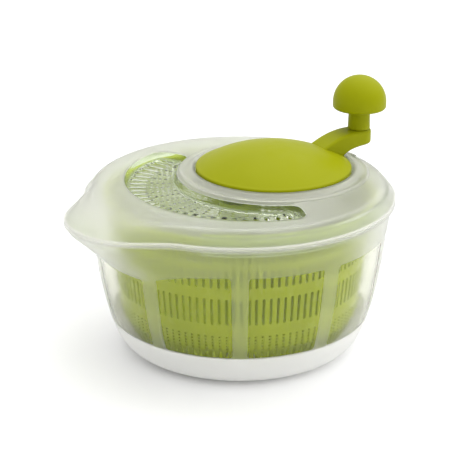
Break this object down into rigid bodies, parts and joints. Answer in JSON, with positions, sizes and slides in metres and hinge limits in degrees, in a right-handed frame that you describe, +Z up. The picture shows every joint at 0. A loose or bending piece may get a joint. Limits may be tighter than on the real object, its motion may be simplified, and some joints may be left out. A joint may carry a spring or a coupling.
{
  "type": "salad spinner",
  "caption": "Crank-driven salad spinner: frosted bowl with clear panels and pouring spout, slotted basket, lid with strainer tray, off-centre domed crank with mushroom knob.",
  "frame": {"origin": "on the bowl's axis, in the face it stands on", "axes": "+Z up along the bowl's axis; the pouring spout points along -X and the crank's axis is offset along +X"},
  "size_m": [0.3067, 0.2616, 0.2159],
  "materials": {
    "bowl_frosted": "translucent frosted wall with polished window panels",
    "lid_frosted": "translucent frosted plastic, satin outside",
    "basket_green": "moulded, slightly translucent",
    "crank_green": "fine eroded texture, satin sheen",
    "gear_white": "moulded acetal",
    "bearing_white": "smooth low-friction plastic",
    "steel": "bright stainless"
  },
  "bodies": {
    "bowl": {"bowl": "bowl_frosted", "pivot_pin": "steel"},
    "turntable": {"pivot_cup": "bearing_white"},
    "basket": {"basket": "basket_green", "basket_column": "basket_green", "column_socket": "bearing_white"},
    "lid": {"lid": "lid_frosted", "crank_bush": "bearing_white", "pinion_bush": "bearing_white", "glide_ring": "bearing_white"},
    "crank": {"crank": "crank_green", "crank_spindle": "steel", "spindle_washer": "steel", "spindle_screw": "steel", "ring_gear": "gear_white", "gear_screws": "steel", "knob_pin": "steel", "knob_screw": "steel"},
    "driver": {"drive_pinion": "gear_white", "basket_driver": "gear_white", "driver_screw": "steel"},
    "knob": {"knob_cap": "crank_green", "knob_stem": "crank_green"}
  },
  "joints": [
    {"name": "basket_spin", "type": "hinge", "parent": "bowl", "child": "turntable", "pos_m": [0, 0, 0.02], "axis": [0, 0, 1], "continuous": true},
    {"name": "basket_lift", "type": "slide", "parent": "turntable", "child": "basket", "axis": [0, 0, 1], "range_m": [0, 0.135]},
    {"name": "lid_lift", "type": "slide", "parent": "bowl", "child": "lid", "axis": [0, 0, 1], "range_m": [0, 0.3]},
    {"name": "crank_spin", "type": "hinge", "parent": "lid", "child": "crank", "pos_m": [0.036, 0, 0.145], "axis": [0, 0, 1], "continuous": true},
    {"name": "driver_spin", "type": "hinge", "parent": "lid", "child": "driver", "pos_m": [0, 0, 0.135], "axis": [0, 0, 1], "continuous": true},
    {"name": "knob_spin", "type": "hinge", "parent": "crank", "child": "knob", "pos_m": [0.12366, -0.00767, 0.19], "axis": [0, 0, 1], "continuous": true}
  ],
  "couplings": [
    {"joint": "crank_spin", "follows": "basket_spin", "ratio": 0.33333},
    {"joint": "driver_spin", "follows": "basket_spin", "ratio": 1},
    {"joint": "basket_lift", "follows": "lid_lift", "ratio": 0.45}
  ]
}
